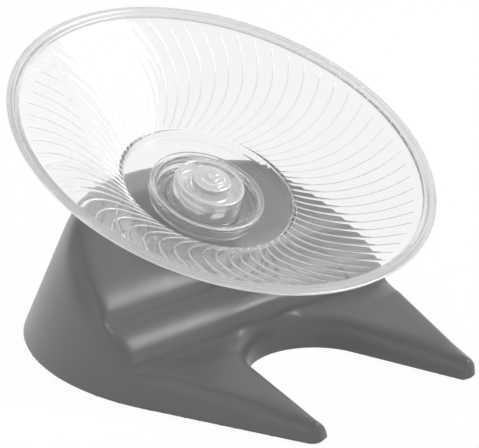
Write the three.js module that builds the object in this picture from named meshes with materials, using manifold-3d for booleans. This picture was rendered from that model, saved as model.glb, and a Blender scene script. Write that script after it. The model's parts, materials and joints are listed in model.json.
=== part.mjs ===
// A tilted saucer wheel: a clear dish that turns on a ball bearing, above a hollow moulded stand.
// Millimetres, +Z up, the open legs of the stand point along -Y.
// The origin is on the floor, at the middle of the whole object's box.
import * as THREE from 'three';
import { mergeVertices } from 'three/addons/utils/BufferGeometryUtils.js';
import Module from 'manifold-3d';

const wasm = await Module();
wasm.setup();

// Running fit between neighbouring pieces, the overrun of every cut, and how near two corners merge
const fit = 0.3;
const overrun = 1;
const mergeShare = 0.001;

// Stand: an oval wall that narrows and leans forward, two legs, and an arched notch between them
const standHalfWidth = 78.4;
const standBackReach = 87.25;
const standHeight = 58.5;
const draftDegrees = 10.76;
const leanDegrees = 17.69;
const legReach = 97.44;
const legSpread = 42.42;
const legTipRadius = 4.85;
const legHeight = 16;
const notchRadius = 26.66;
const notchReach = 57.31;
const shellWall = 2.4;
const shoulderInset = 4;
const shoulderWidth = 9;
const backSteps = 40;
const notchSteps = 12;
const tipSteps = 5;
const thinnestTipShare = 0.1;
const searchSteps = 40;

// Front of the stand from the leg tips to the flat top: place along the length as a share of half
// the length, height on the middle and height at the outer wall as shares of the stand height, and
// the rise of a leg's outer side over its inner side as a share of the stand height
const frontShares = [
  [-1.08, 0.055, 0.130, 0.100],
  [-0.88, 0.068, 0.132, 0.100],
  [-0.66, 0.086, 0.157, 0.100],
  [-0.46, 0.107, 0.193, 0.100],
  [-0.34, 0.142, 0.221, 0.088],
  [-0.255, 0.191, 0.240, 0.065],
  [-0.222, 0.219, 0.251, 0.048],
  [-0.204, 0.250, 0.272, 0.040],
  [-0.189, 0.311, 0.298, 0],
  [-0.172, 0.362, 0.319, 0],
  [-0.149, 0.388, 0.352, 0],
  [-0.097, 0.433, 0.439, 0],
  [-0.046, 0.484, 0.512, 0],
  [-0.022, 0.528, 0.526, 0],
  [-0.002, 0.576, 0.538, 0],
  [0.020, 0.606, 0.554, 0],
  [0.135, 0.730, 0.653, 0],
  [0.230, 0.835, 0.776, 0],
  [0.315, 0.925, 0.897, 0],
  [0.358, 0.967, 0.958, 0],
  [0.410, 0.995, 0.995, 0],
  [0.460, 1, 1, 0],
  [1.020, 1, 1, 0],
];
const shoulderShares = [0, 0.3, 0.6, 1];
const middleShares = [0.5, 0];

// Spindle boss on the stand, and the stiffening webs under the top
const seatY = 19.05;
const seatRise = 4.687;
const dishTiltDegrees = 24.96;
const bossTopRadius = 13.6;
const bossFootRadius = 17;
const bossFootShare = 0.5;
const bossFloor = 7.7;
const bossCoreRadius = 8.5;
const webThickness = 2;
const webLift = 6;
const webCount = 4;

// Spindle, its washers and its screw
const spindleRadius = 4;
const stemLength = 16;
const flangeRadius = 6;
const flangeThickness = 1;
const thrustWasherThickness = 0.5;
const thrustWasherRadius = 5.6;
const retainingWasherRadius = 6.4;
const retainingWasherThickness = 1;
const threadRadius = 2;
const threadLength = 9;
const screwHeadRadius = 3.6;
const screwHeadHeight = 2.3;
const screwCrownShare = 0.7;
const driveSlotShare = 0.55;
const driveSlotWidth = 0.9;
const driveSlotDepth = 1.2;

// Ball bearing, which comes out 8 x 22 x 7
const bearingRadius = 11;
const raceWall = 1.32;
const ballCount = 7;
const ballGap = 0.2;
const innerLandRise = 2.05;
const outerLandRise = 1.7;
const shieldThickness = 0.35;
const shieldInset = 0.3;
const cageRail = 0.45;
const cageThickness = 1.5;
const cageGap = 0.22;

// Clear dish: depths are measured down from the plane of the rim
const dishRadius = 90;
const dishWall = 2;
const floorThickness = 2.4;
const floorDepth = 27.3;
const floorRadius = 35.4;
const stepHeight = 2.9;
const stepWidth = 0.9;
const lipWidth = 5.6;
const lipRise = 0.4;
const lipDrop = 2.4;
const lipEdge = 2.4;
const wallTopDepth = 1.3;

// Curved grip ribs moulded on the dish wall
const ribCount = 64;
const ribOuterMargin = 2.8;
const ribInnerMargin = 0.6;
const ribPhaseDegrees = 0.95;
const ribSweepDegrees = 4.45;
const ribBow = 8;
const ribWidth = 1.1;
const ribHeight = 0.75;
const ribRoot = 0.8;
const ribSteps = 4;

// Clear hub housing, which carries the bearing: rises and drops are measured from the dish floor
const socketWall = 2.4;
const socketReach = 6.2;
const tubeStandOff = 1.8;
const tubeTaper = 0.9;
const tubeRise = 5.4;
const tubeWall = 1.4;
const annulusRise = 1.1;
const annulusThickness = 1.8;
const moatWidth = 8.8;
const moatDrop = 4.3;
const moatWall = 1.6;
const hubSeatWidth = 1.7;
const hubLipWidth = 1.8;
const hubLipRise = 1.1;
const hubFlange = 1.2;

// Snap-in hub cap
const capClearance = 1;
const capFlange = 1;
const capFlangeThickness = 0.8;
const capWall = 1.2;
const capRise = 7.7;
const capStepInset = 3;
const capStepRise = 1.1;
const buttonInset = 2.9;
const buttonRise = 1.9;
const capBevelShare = 0.33;

// Retainer ring under the dish floor
const retainerReach = 1.4;
const retainerThickness = 2;

// Facets round turned pieces
const dishSides = 60;
const hubSides = 32;
const bearingSides = 24;
const smallSides = 20;
const ballSides = 8;
const ballRings = 6;
const pocketSides = 12;
const pocketRings = 8;
const grooveSteps = 4;

// Worked-out sizes
const rad = THREE.MathUtils.degToRad;
const dishTilt = rad(dishTiltDegrees);
const draft = Math.tan(rad(draftDegrees));
const lean = Math.tan(rad(leanDegrees));
const halfLength = (legReach + legTipRadius + standBackReach) / 2;
const ovalY = halfLength - standBackReach;
const tipY = ovalY - legReach;
const notchY = ovalY - notchReach;
const bossDepth = stemLength + fit + bossFloor;
const ballRadius = (bearingRadius - spindleRadius) / 2 - raceWall - ballGap;
const bearingWidth = 2 * (ballRadius + ballGap + cageRail + cageGap + shieldThickness + shieldInset);
const pitchRadius = (spindleRadius + bearingRadius) / 2;
const socketRadius = bearingRadius + fit;
const skirtRadius = socketRadius + socketWall;
const tubeRadius = skirtRadius + tubeStandOff;
const tubeTopRadius = tubeRadius - tubeTaper;
const hubRadius = tubeRadius + moatWidth;
const floorHoleRadius = hubRadius - hubSeatWidth;
const capRadius = retainingWasherRadius + capClearance + capWall;
const capStepRadius = capRadius - capStepInset;
const buttonRadius = capStepRadius - buttonInset;
const wallFoot = floorRadius + stepWidth;
const lipInner = dishRadius - lipWidth;
const ribInnerRadius = wallFoot + ribInnerMargin;
const ribOuterRadius = lipInner - ribOuterMargin;

// Levels along the dish's own axis, up from the top of the boss
const flangeBase = fit;
const thrustBase = flangeBase + flangeThickness + fit;
const bearingBase = thrustBase + thrustWasherThickness + fit;
const bearingMiddle = bearingBase + bearingWidth / 2;
const bearingTop = bearingBase + bearingWidth;
const annulusBase = bearingTop + fit;
const annulusTop = annulusBase + annulusThickness;
const floorLevel = annulusTop - annulusRise;
const floorBase = floorLevel - floorThickness;
const rimLevel = floorLevel + floorDepth;
const stepLevel = floorLevel + stepHeight;
const tubeTop = floorLevel + tubeRise;
const moatLevel = floorLevel - moatDrop;
const moatBase = moatLevel - moatWall;
const capTop = floorLevel + capRise;
const capStepTop = capTop + capStepRise;
const buttonTop = capStepTop + buttonRise;

// Materials
const finish = (color, roughness, metalness, opacity) =>
  new THREE.MeshStandardMaterial({ color, roughness, metalness, opacity, transparent: opacity < 1 });
const greyPlastic = () => finish(0x707071, 0.45, 0, 1);
const clearPlastic = () => finish(0xeef2f3, 0.05, 0, 0.35);
const steel = () => finish(0xb9bcc0, 0.28, 1, 1);
const brass = () => finish(0xb08d4a, 0.4, 1, 1);

// Solids and meshes
function toSolid(geometry) {
  const bare = geometry.clone();
  bare.deleteAttribute('normal');
  bare.deleteAttribute('uv');
  const merged = mergeVertices(bare, fit * mergeShare);
  const source = merged.index.array;
  const corners = [];
  for (let i = 0; i < source.length; i += 3) {
    const [a, b, c] = [source[i], source[i + 1], source[i + 2]];
    if (a !== b && b !== c && c !== a) corners.push(a, b, c);
  }
  const mesh = new wasm.Mesh({
    numProp: 3,
    vertProperties: new Float32Array(merged.attributes.position.array),
    triVerts: new Uint32Array(corners),
  });
  return new wasm.Manifold(mesh);
}

function toGeometry(solid) {
  const mesh = solid.getMesh();
  const geometry = new THREE.BufferGeometry();
  geometry.setAttribute('position', new THREE.BufferAttribute(mesh.vertProperties, 3));
  geometry.setIndex(new THREE.BufferAttribute(mesh.triVerts, 1));
  return geometry;
}

function closedMesh(points, triangles) {
  const geometry = new THREE.BufferGeometry();
  geometry.setAttribute('position', new THREE.Float32BufferAttribute(points.flat(), 3));
  geometry.setIndex(triangles);
  return geometry;
}

// A turned piece: the profile runs anticlockwise in radius and height, and closes on itself or the axis
function turned(profile, sides) {
  const points = profile.map(([radius, height]) => new THREE.Vector2(radius, height));
  const onAxis = profile[0][0] === 0;
  if (!onAxis) points.push(points[0].clone());
  return new THREE.LatheGeometry(points, sides).rotateX(Math.PI / 2);
}

function tube(innerRadius, outerRadius, base, top, sides) {
  return turned([[innerRadius, base], [outerRadius, base], [outerRadius, top], [innerRadius, top]], sides);
}

function named(name, geometry, material) {
  const mesh = new THREE.Mesh(geometry, material);
  mesh.name = name;
  return mesh;
}

// A loft through level outlines that all have the same number of points
function loft(outlines, heights) {
  const count = outlines[0].length;
  const last = (outlines.length - 1) * count;
  const points = outlines.flatMap((outline, k) => outline.map(([x, y]) => [x, y, heights[k]]));
  const triangles = [];
  for (let k = 0; k + 1 < outlines.length; k += 1) {
    for (let i = 0; i < count; i += 1) {
      const a = k * count + i;
      const b = k * count + ((i + 1) % count);
      triangles.push(a, b, b + count, a, b + count, a + count);
    }
  }
  const flat = (outline) => outline.map(([x, y]) => new THREE.Vector2(x, y));
  const bottomCap = THREE.ShapeUtils.triangulateShape(flat(outlines[0]), []);
  const topCap = THREE.ShapeUtils.triangulateShape(flat(outlines[outlines.length - 1]), []);
  for (const [a, b, c] of bottomCap) triangles.push(c, b, a);
  for (const [a, b, c] of topCap) triangles.push(last + a, last + b, last + c);
  return closedMesh(points, triangles);
}

// Outline of the stand at a height, drawn in by an inset: the oval's back, then straight to the leg tips
function ovalAt(z, inset) {
  return {
    y: ovalY - lean * z,
    halfWidth: standHalfWidth - draft * z - inset,
    reach: standBackReach - draft * z - inset,
  };
}

function tipRadiusAt(z, inset) {
  const drawn = legTipRadius - draft * Math.min(z, legHeight) - inset;
  return Math.max(drawn, legTipRadius * thinnestTipShare);
}

// Where the oval's outward normal has an angle, and how far out its tangent lies there
function ovalSupport(oval, angle) {
  const across = oval.halfWidth * Math.cos(angle);
  const along = oval.reach * Math.sin(angle);
  const size = Math.hypot(across, along);
  return {
    x: oval.halfWidth * across / size,
    y: oval.y + oval.reach * along / size,
    distance: oval.y * Math.sin(angle) + size,
  };
}

function tangentAngle(oval, tipRadius) {
  let low = -Math.PI / 2;
  let high = 0;
  for (let i = 0; i < searchSteps; i += 1) {
    const angle = (low + high) / 2;
    const tip = legSpread * Math.cos(angle) + tipY * Math.sin(angle) + tipRadius;
    if (tip > ovalSupport(oval, angle).distance) low = angle;
    else high = angle;
  }
  return high;
}

function outerOutline(z, inset) {
  const oval = ovalAt(z, inset);
  const tipRadius = tipRadiusAt(z, inset);
  const start = tangentAngle(oval, tipRadius);
  const outline = [];
  for (let i = 0; i <= tipSteps; i += 1) {
    const angle = -Math.PI / 2 + (start + Math.PI / 2) * i / tipSteps;
    outline.push([legSpread + tipRadius * Math.cos(angle), tipY + tipRadius * Math.sin(angle)]);
  }
  for (let i = 0; i <= backSteps; i += 1) {
    const angle = start + (Math.PI - 2 * start) * i / backSteps;
    const point = ovalSupport(oval, angle);
    outline.push([point.x, point.y]);
  }
  for (let i = tipSteps; i >= 0; i -= 1) {
    const [x, y] = outline[i];
    outline.push([-x, y]);
  }
  return outline;
}

// Outline of the notch at a height, widened by the wall for the hollow below the shell
function notchOutline(z, inset) {
  const grown = notchRadius + draft * Math.min(z, legHeight) + inset;
  const tipRadius = tipRadiusAt(z, inset);
  const along = Math.atan2(tipY - notchY, legSpread);
  const apart = Math.hypot(legSpread, tipY - notchY);
  const normal = along + Math.acos(Math.min((grown + tipRadius) / apart, 1));
  const right = [];
  for (let i = 0; i <= tipSteps; i += 1) {
    const angle = -Math.PI / 2 + (normal - Math.PI / 2) * i / tipSteps;
    right.push([legSpread + tipRadius * Math.cos(angle), tipY + tipRadius * Math.sin(angle)]);
  }
  const arch = [];
  for (let i = 0; i <= notchSteps; i += 1) {
    const angle = normal + (Math.PI - 2 * normal) * i / notchSteps;
    arch.push([grown * Math.cos(angle), notchY + grown * Math.sin(angle)]);
  }
  const left = right.slice().reverse().map(([x, y]) => [-x, y]);
  const front = tipY - legTipRadius - overrun;
  return [[legSpread, front], ...right, ...arch, ...left, [-legSpread, front]];
}

// Height of the stand's top surface
function profileAt(y) {
  const place = y / halfLength;
  let k = 1;
  while (k + 1 < frontShares.length && frontShares[k][0] < place) k += 1;
  const [before, after] = [frontShares[k - 1], frontShares[k]];
  const t = THREE.MathUtils.clamp((place - before[0]) / (after[0] - before[0]), 0, 1);
  const [, middle, border, spread] = before.map((value, i) => standHeight * (value + (after[i] - value) * t));
  return { middle, border, spread };
}

function wallHalfWidth(y) {
  const { border } = profileAt(y);
  const oval = ovalAt(border, 0);
  const across = (y - oval.y) / oval.reach;
  const start = tangentAngle(oval, tipRadiusAt(border, 0));
  const turn = ovalSupport(oval, start);
  if (y > turn.y) return oval.halfWidth * Math.sqrt(Math.max(1 - across * across, 0));
  return turn.x + (y - turn.y) * (turn.x - legSpread - legTipRadius) / (turn.y - tipY);
}

function topHeight(x, y) {
  const { middle, border, spread } = profileAt(y);
  const inboard = wallHalfWidth(y) - Math.abs(x);
  const t = THREE.MathUtils.smoothstep(inboard, shoulderInset, shoulderInset + shoulderWidth);
  const high = middle + spread * Math.abs(x) / standHalfWidth;
  return border + (high - border) * t;
}

// Everything under the top surface, lowered by the wall for the hollow
function underTop(drop) {
  const rows = frontShares.map(([place]) => place * halfLength);
  const half = rows.map((y) => {
    const width = Math.max(wallHalfWidth(y), 2 * (shoulderInset + shoulderWidth));
    const shoulder = shoulderShares.map((share) => width - shoulderInset - shoulderWidth * share);
    const middle = middleShares.map((share) => share * (width - shoulderInset - shoulderWidth));
    return [standHalfWidth + overrun, ...shoulder, ...middle];
  });
  const points = [];
  for (const face of ['top', 'base']) {
    rows.forEach((y, k) => {
      const right = half[k].slice(0, -1);
      const xs = [...right.map((x) => -x), 0, ...right.slice().reverse()];
      for (const x of xs) {
        const z = face === 'top' ? topHeight(x, y) - drop : -2 * overrun;
        points.push([x, y, z]);
      }
    });
  }
  const across = 2 * half[0].length - 1;
  const layer = rows.length * across;
  const triangles = [];
  for (let k = 0; k + 1 < rows.length; k += 1) {
    for (let i = 0; i + 1 < across; i += 1) {
      const a = k * across + i;
      const b = a + 1;
      const c = b + across;
      const d = a + across;
      triangles.push(a, b, c, a, c, d, a + layer, c + layer, b + layer, a + layer, d + layer, c + layer);
    }
  }
  const side = (a, b) => triangles.push(a, a + layer, b + layer, a, b + layer, b);
  for (let i = 0; i + 1 < across; i += 1) {
    side(i, i + 1);
    side(layer - across + i + 1, layer - across + i);
  }
  for (let k = 0; k + 1 < rows.length; k += 1) {
    side((k + 1) * across, k * across);
    side(k * across + across - 1, (k + 1) * across + across - 1);
  }
  return closedMesh(points, triangles);
}

function standBlock(inset, base) {
  const heights = [base, legHeight, standHeight + overrun];
  const wall = toSolid(loft(heights.map((z) => outerOutline(z, inset)), heights));
  const cutHeights = [-3 * overrun, legHeight, standHeight + 2 * overrun];
  const notch = toSolid(loft(cutHeights.map((z) => notchOutline(z, inset)), cutHeights));
  return wall.intersect(toSolid(underTop(inset))).subtract(notch);
}

// The middle of the seat on top of the boss
const seatHeight = profileAt(seatY).middle + seatRise;

// A round cone or cylinder of the stand, stood on the spindle's axis
function onAxis(baseRadius, topRadius, base, top) {
  const profile = [[0, base], [baseRadius, base], [topRadius, top], [0, top]];
  const geometry = turned(profile, smallSides);
  return toSolid(geometry.rotateX(dishTilt).translate(0, seatY, seatHeight));
}

function stand() {
  const outer = standBlock(0, 0);
  const hollow = standBlock(shellWall, -overrun);
  const core = onAxis(bossCoreRadius, bossCoreRadius, -bossDepth, 0);
  const turret = onAxis(bossFootRadius, bossTopRadius, -bossDepth * bossFootShare, 0);
  const bore = onAxis(spindleRadius + fit, spindleRadius + fit, -stemLength - fit, overrun);
  let shell = outer.subtract(hollow).add(core).add(turret);
  for (let i = 0; i < webCount; i += 1) {
    const web = new THREE.BoxGeometry(standHalfWidth, webThickness, standHeight);
    web.translate(standHalfWidth / 2, 0, standHeight / 2 + webLift);
    web.rotateZ(Math.PI * (2 * i + 1) / webCount);
    web.translate(0, seatY, 0);
    shell = shell.add(toSolid(web).intersect(outer));
  }
  return named('stand_shell', toGeometry(shell.subtract(bore)), greyPlastic());
}

// Spindle and what holds the bearing on it
function spindle() {
  const top = bearingTop - fit;
  const flangeTop = flangeBase + flangeThickness;
  const threadEnd = top - threadLength;
  const profile = [
    [0, -stemLength],
    [spindleRadius, -stemLength],
    [spindleRadius, flangeBase],
    [flangeRadius, flangeBase],
    [flangeRadius, flangeTop],
    [spindleRadius - fit, flangeTop],
    [spindleRadius - fit, top],
    [threadRadius + fit, top],
    [threadRadius + fit, threadEnd],
    [0, threadEnd],
  ];
  return named('spindle', turned(profile, smallSides), steel());
}

function thrustWasher() {
  const top = thrustBase + thrustWasherThickness;
  const geometry = tube(spindleRadius, thrustWasherRadius, thrustBase, top, smallSides);
  return named('thrust_washer', geometry, brass());
}

function retainingWasher() {
  const base = bearingTop + fit;
  const top = base + retainingWasherThickness;
  const geometry = tube(threadRadius + fit, retainingWasherRadius, base, top, smallSides);
  return named('retaining_washer', geometry, steel());
}

function retainingScrew() {
  const base = bearingTop + fit + retainingWasherThickness + fit;
  const top = base + screwHeadHeight;
  const tip = bearingTop - threadLength + fit;
  const body = toSolid(turned([
    [0, tip],
    [threadRadius, tip],
    [threadRadius, base],
    [screwHeadRadius, base],
    [screwHeadRadius, base + screwHeadHeight / 2],
    [screwHeadRadius * screwCrownShare, top],
    [0, top],
  ], smallSides));
  const slotLength = 2 * screwHeadRadius * driveSlotShare;
  const slot = new THREE.BoxGeometry(slotLength, driveSlotWidth, 2 * driveSlotDepth).translate(0, 0, top);
  const cross = toSolid(slot).add(toSolid(slot.clone().rotateZ(Math.PI / 2)));
  return named('retaining_screw', toGeometry(body.subtract(cross)), steel());
}

// Bearing: the ball groove of the race whose land has a radius, from its base to its top
function grooveArc(landRadius) {
  const side = Math.sign(landRadius - pitchRadius);
  const grooveRadius = ballRadius + ballGap;
  const reach = Math.acos(Math.abs(landRadius - pitchRadius) / grooveRadius);
  const arc = [];
  for (let i = 0; i <= grooveSteps; i += 1) {
    const angle = reach * (2 * i / grooveSteps - 1);
    const radius = pitchRadius + side * grooveRadius * Math.cos(angle);
    arc.push([radius, bearingMiddle + grooveRadius * Math.sin(angle)]);
  }
  return arc;
}

function innerRace() {
  const land = spindleRadius + innerLandRise;
  const profile = [
    [spindleRadius, bearingBase],
    [land, bearingBase],
    ...grooveArc(land),
    [land, bearingTop],
    [spindleRadius, bearingTop],
  ];
  return named('bearing_inner_race', turned(profile, bearingSides), steel());
}

function outerRace() {
  const land = bearingRadius - outerLandRise;
  const profile = [
    [land, bearingBase],
    [bearingRadius, bearingBase],
    [bearingRadius, bearingTop],
    [land, bearingTop],
    ...grooveArc(land).reverse(),
  ];
  return named('bearing_outer_race', turned(profile, bearingSides), steel());
}

function ballPlace(index) {
  const angle = 2 * Math.PI * index / ballCount;
  return new THREE.Vector3(pitchRadius * Math.cos(angle), pitchRadius * Math.sin(angle), bearingMiddle);
}

function balls() {
  return Array.from({ length: ballCount }, (_, i) => {
    const geometry = new THREE.SphereGeometry(ballRadius, ballSides, ballRings);
    const ball = named(`bearing_ball_${i + 1}`, geometry, steel());
    ball.position.copy(ballPlace(i));
    return ball;
  });
}

function cage() {
  const base = bearingMiddle - ballRadius - ballGap - cageRail;
  const innerRadius = pitchRadius - cageThickness / 2;
  let body = toSolid(tube(innerRadius, innerRadius + cageThickness, base, bearingMiddle, bearingSides));
  for (let i = 0; i < ballCount; i += 1) {
    const pocket = new THREE.SphereGeometry(ballRadius + ballGap, pocketSides, pocketRings);
    pocket.translate(...ballPlace(i).toArray());
    body = body.subtract(toSolid(pocket));
  }
  return named('bearing_cage', toGeometry(body), brass());
}

function shield(name, base) {
  const innerRadius = spindleRadius + innerLandRise + fit;
  const outerRadius = bearingRadius - outerLandRise - fit;
  return named(name, tube(innerRadius, outerRadius, base, base + shieldThickness, bearingSides), steel());
}

// Clear dish with its lip and ribs
function wallLevel(radius) {
  const rise = rimLevel - wallTopDepth - stepLevel;
  return stepLevel + rise * (radius - wallFoot) / (lipInner - wallFoot);
}

function ribBar(index) {
  const turn = 2 * Math.PI * index / ribCount + rad(ribPhaseDegrees);
  const sweep = rad(ribSweepDegrees);
  const start = new THREE.Vector2(ribOuterRadius, 0);
  const end = new THREE.Vector2(ribInnerRadius * Math.cos(sweep), ribInnerRadius * Math.sin(sweep));
  const along = end.clone().sub(start).normalize();
  const aside = new THREE.Vector2(-along.y, along.x);
  const points = [];
  for (let i = 0; i <= ribSteps; i += 1) {
    const t = i / ribSteps;
    const bow = 4 * t * (1 - t) * ribBow;
    const centre = start.clone().lerp(end, t).addScaledVector(aside, bow);
    const slope = 4 * (1 - 2 * t) * ribBow / start.distanceTo(end);
    const across = aside.clone().addScaledVector(along, -slope).normalize();
    for (const [side, lift] of [[-1, -ribRoot], [1, -ribRoot], [0, ribHeight]]) {
      const place = centre.clone().addScaledVector(across, side * ribWidth);
      place.rotateAround(new THREE.Vector2(), turn);
      points.push([place.x, place.y, wallLevel(centre.length()) + lift]);
    }
  }
  const triangles = [0, 2, 1];
  for (let i = 0; i < ribSteps; i += 1) {
    for (let j = 0; j < 3; j += 1) {
      const a = 3 * i + j;
      const b = 3 * i + ((j + 1) % 3);
      triangles.push(a, b, b + 3, a, b + 3, a + 3);
    }
  }
  const last = 3 * ribSteps;
  triangles.push(last, last + 1, last + 2);
  return { points, triangles };
}

function dish() {
  const slope = (wallLevel(lipInner) - wallLevel(wallFoot)) / (lipInner - wallFoot);
  const under = dishWall * Math.hypot(1, slope);
  const body = toSolid(turned([
    [floorHoleRadius, floorBase],
    [floorRadius + dishWall, floorBase],
    [wallFoot + dishWall, wallLevel(wallFoot + dishWall) - under],
    [lipInner + dishWall, wallLevel(lipInner) - under],
    [dishRadius - lipEdge, rimLevel - lipDrop],
    [dishRadius - lipRise, rimLevel - lipRise],
    [dishRadius, rimLevel],
    [dishRadius - lipRise, rimLevel + lipRise],
    [lipInner + lipRise, rimLevel + lipRise],
    [lipInner, wallLevel(lipInner)],
    [wallFoot, stepLevel],
    [floorRadius, floorLevel],
    [floorHoleRadius, floorLevel],
  ], dishSides));
  const points = [];
  const triangles = [];
  for (let i = 0; i < ribCount; i += 1) {
    const rib = ribBar(i);
    triangles.push(...rib.triangles.map((corner) => corner + points.length));
    points.push(...rib.points);
  }
  return named('dish', toGeometry(body.add(toSolid(closedMesh(points, triangles)))), clearPlastic());
}

// Hub housing: from the bearing socket out under the moat to the flange, and back in over the tube
function hubHousing() {
  const flangeLow = floorLevel + fit;
  const flangeTop = flangeLow + hubFlange;
  const lipTop = flangeLow + hubLipRise + fit;
  const socketBase = annulusBase - socketReach;
  const moatOuter = floorHoleRadius - fit;
  const moatMiddle = (tubeRadius + moatOuter) / 2;
  const lipFoot = hubRadius - hubLipWidth;
  const annulusHole = capRadius + fit;
  const bevel = tubeWall / 4;
  const profile = [
    [annulusHole, annulusBase],
    [socketRadius, annulusBase],
    [socketRadius, socketBase],
    [skirtRadius, socketBase],
    [skirtRadius, moatBase],
    [moatMiddle, moatBase],
    [moatOuter, floorBase],
    [moatOuter, flangeLow],
    [hubRadius, flangeLow],
    [hubRadius, flangeTop],
    [hubRadius - bevel, lipTop],
    [lipFoot, lipTop],
    [lipFoot - moatWall / 2, flangeLow],
    [moatMiddle + moatWall, moatLevel + moatWall / 2],
    [moatMiddle - moatWall, moatLevel],
    [tubeRadius, moatLevel + bevel],
    [tubeTopRadius, tubeTop - bevel],
    [tubeTopRadius - bevel, tubeTop],
    [tubeTopRadius - tubeWall, tubeTop],
    [tubeTopRadius - tubeWall, annulusTop],
    [annulusHole, annulusTop],
  ];
  return named('hub_housing', turned(profile, hubSides), clearPlastic());
}

function hubCap() {
  const base = annulusTop + fit;
  const flangeTop = base + capFlangeThickness;
  const skirtBase = annulusBase + fit;
  const bevel = capWall * capBevelShare;
  const profile = [
    [0, capStepTop - capWall],
    [capStepRadius - capWall, capStepTop - capWall],
    [capRadius - capWall, capTop - capWall],
    [capRadius - capWall, skirtBase],
    [capRadius, skirtBase],
    [capRadius, base],
    [capRadius + capFlange, base],
    [capRadius + capFlange, flangeTop],
    [capRadius, flangeTop],
    [capRadius - bevel, capTop],
    [capStepRadius, capTop],
    [capStepRadius - bevel, capStepTop],
    [buttonRadius, capStepTop],
    [buttonRadius - bevel, buttonTop],
    [0, buttonTop],
  ];
  return named('hub_cap', turned(profile, hubSides), clearPlastic());
}

// Ring bonded under the hub, which clamps it to the dish floor
function retainerRing() {
  const inner = skirtRadius + fit;
  const outer = floorHoleRadius + retainerReach;
  const seat = floorBase - fit;
  const low = moatBase - fit;
  const profile = [
    [inner, low - retainerThickness],
    [floorHoleRadius, low - retainerThickness],
    [outer, seat - retainerThickness],
    [outer, seat],
    [floorHoleRadius + fit, seat],
    [floorHoleRadius, low],
    [inner, low],
  ];
  return named('hub_retainer_ring', turned(profile, hubSides), clearPlastic());
}

// Assembly
const wheel = new THREE.Group();
wheel.add(stand());

const turningAxis = new THREE.Group();
turningAxis.position.set(0, seatY, seatHeight);
turningAxis.rotation.x = dishTilt;
turningAxis.add(spindle(), thrustWasher(), retainingWasher(), retainingScrew());
turningAxis.add(innerRace(), outerRace(), ...balls(), cage());
turningAxis.add(shield('bearing_shield_lower', bearingBase + shieldInset));
turningAxis.add(shield('bearing_shield_upper', bearingTop - shieldInset - shieldThickness));
turningAxis.add(dish(), hubHousing(), hubCap(), retainerRing());
wheel.add(turningAxis);

export default wheel;
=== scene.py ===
"""A saucer wheel: a clear ribbed dish that spins on a ball bearing above a grey moulded stand.

Blender works in metres, in the object's own frame. The sizes named here are millimetres, and levels are
measured along the spindle, up from the top of the stand's boss."""
import json
import math

import bmesh
import bpy
import numpy as np
from mathutils import Matrix, Vector


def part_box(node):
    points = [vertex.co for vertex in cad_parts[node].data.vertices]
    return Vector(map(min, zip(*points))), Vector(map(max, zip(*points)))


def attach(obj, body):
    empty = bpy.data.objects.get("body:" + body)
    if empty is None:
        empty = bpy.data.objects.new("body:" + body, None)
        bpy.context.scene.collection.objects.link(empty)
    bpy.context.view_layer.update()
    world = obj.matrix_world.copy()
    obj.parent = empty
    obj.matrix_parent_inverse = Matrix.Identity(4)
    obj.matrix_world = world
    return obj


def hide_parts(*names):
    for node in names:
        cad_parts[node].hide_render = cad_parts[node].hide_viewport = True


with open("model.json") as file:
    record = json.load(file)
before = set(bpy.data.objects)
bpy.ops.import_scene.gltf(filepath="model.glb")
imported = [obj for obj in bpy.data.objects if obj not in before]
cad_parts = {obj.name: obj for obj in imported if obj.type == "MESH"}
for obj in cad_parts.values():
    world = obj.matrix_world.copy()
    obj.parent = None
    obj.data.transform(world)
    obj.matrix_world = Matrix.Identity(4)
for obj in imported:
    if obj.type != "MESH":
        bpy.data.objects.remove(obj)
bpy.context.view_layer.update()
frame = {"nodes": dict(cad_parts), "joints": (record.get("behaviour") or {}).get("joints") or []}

MM = 0.001
nodes = frame["nodes"]

# Where the spindle stands, and the turn from its own frame to the object's
spin = next(joint for joint in frame["joints"] if joint["name"] == "dish_spin")
seat = Vector(spin["pos_m"])
tilt = math.atan2(-spin["axis"][1], spin["axis"][2])
stood = Matrix.Translation(seat) @ Matrix.Rotation(tilt, 4, "X")


def reach(node):
    """A node's least and greatest radius and its lowest and highest level about the spindle."""
    back = stood.inverted()
    points = np.array([back @ vertex.co for vertex in nodes[node].data.vertices]) / MM
    radius = np.hypot(points[:, 0], points[:, 1])
    return radius.min(), radius.max(), points[:, 2].min(), points[:, 2].max()


# Sizes of the stand
stand_low, stand_high = (np.array(corner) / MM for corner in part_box("stand_shell"))
STAND_HEIGHT = stand_high[2]
STAND_HALF_WIDTH = stand_high[0]
STAND_BACK = stand_high[1]
OVAL_REACH = 87.25
OVAL_Y = STAND_BACK - OVAL_REACH
LEG_TIP_RADIUS = 5.2
LEG_TIP_REACH = 5.75
LEG_X = 42.42
LEG_Y = stand_low[1] + LEG_TIP_REACH
NOTCH_RADIUS = 26.66
NOTCH_Y = -49.79
SHELL_WALL = 2.4
SHELL_ROUNDING = 0.6
FOOT_ROUNDING = 1.0

# How far the walls draw in, and the whole oval shifts forward, for each millimetre of height
DRAFT = 0.19
TIP_DRAFT = 0.05
LEAN = 0.319

# Radius of the upper edge at places along Y, on the outer wall and round the notch
EDGE_ROUNDINGS = [(-110, 3.2), (-88, 3.4), (-68, 4.4), (-36, 4.2), (-20, 3.4), (0, 3.6), (30, 4.5), (110, 5)]
NOTCH_ROUNDINGS = [(-110, 3.2), (-88, 3.4), (-68, 4.2), (-45, 3.8), (-26, 3.4), (110, 3.4)]
ROUNDING_CHANGE = 4.0
# How many of its radii a soft edge reaches
EDGE_REACH = 2.3
TIP_ROUNDING = 4.8
# Width over which the top goes from its height at the outer wall to its height further in
SHOULDER = 4.4

# Between these places along Y a leg becomes its domed tip, and the notch's raised rim fades out
TIP_CHANGE = (-92, -74)
NOTCH_RIM_ENDS = (-22.5, -13.5)
NOTCH_RIM = 2.6
NOTCH_RIM_REACH = 13
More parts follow.
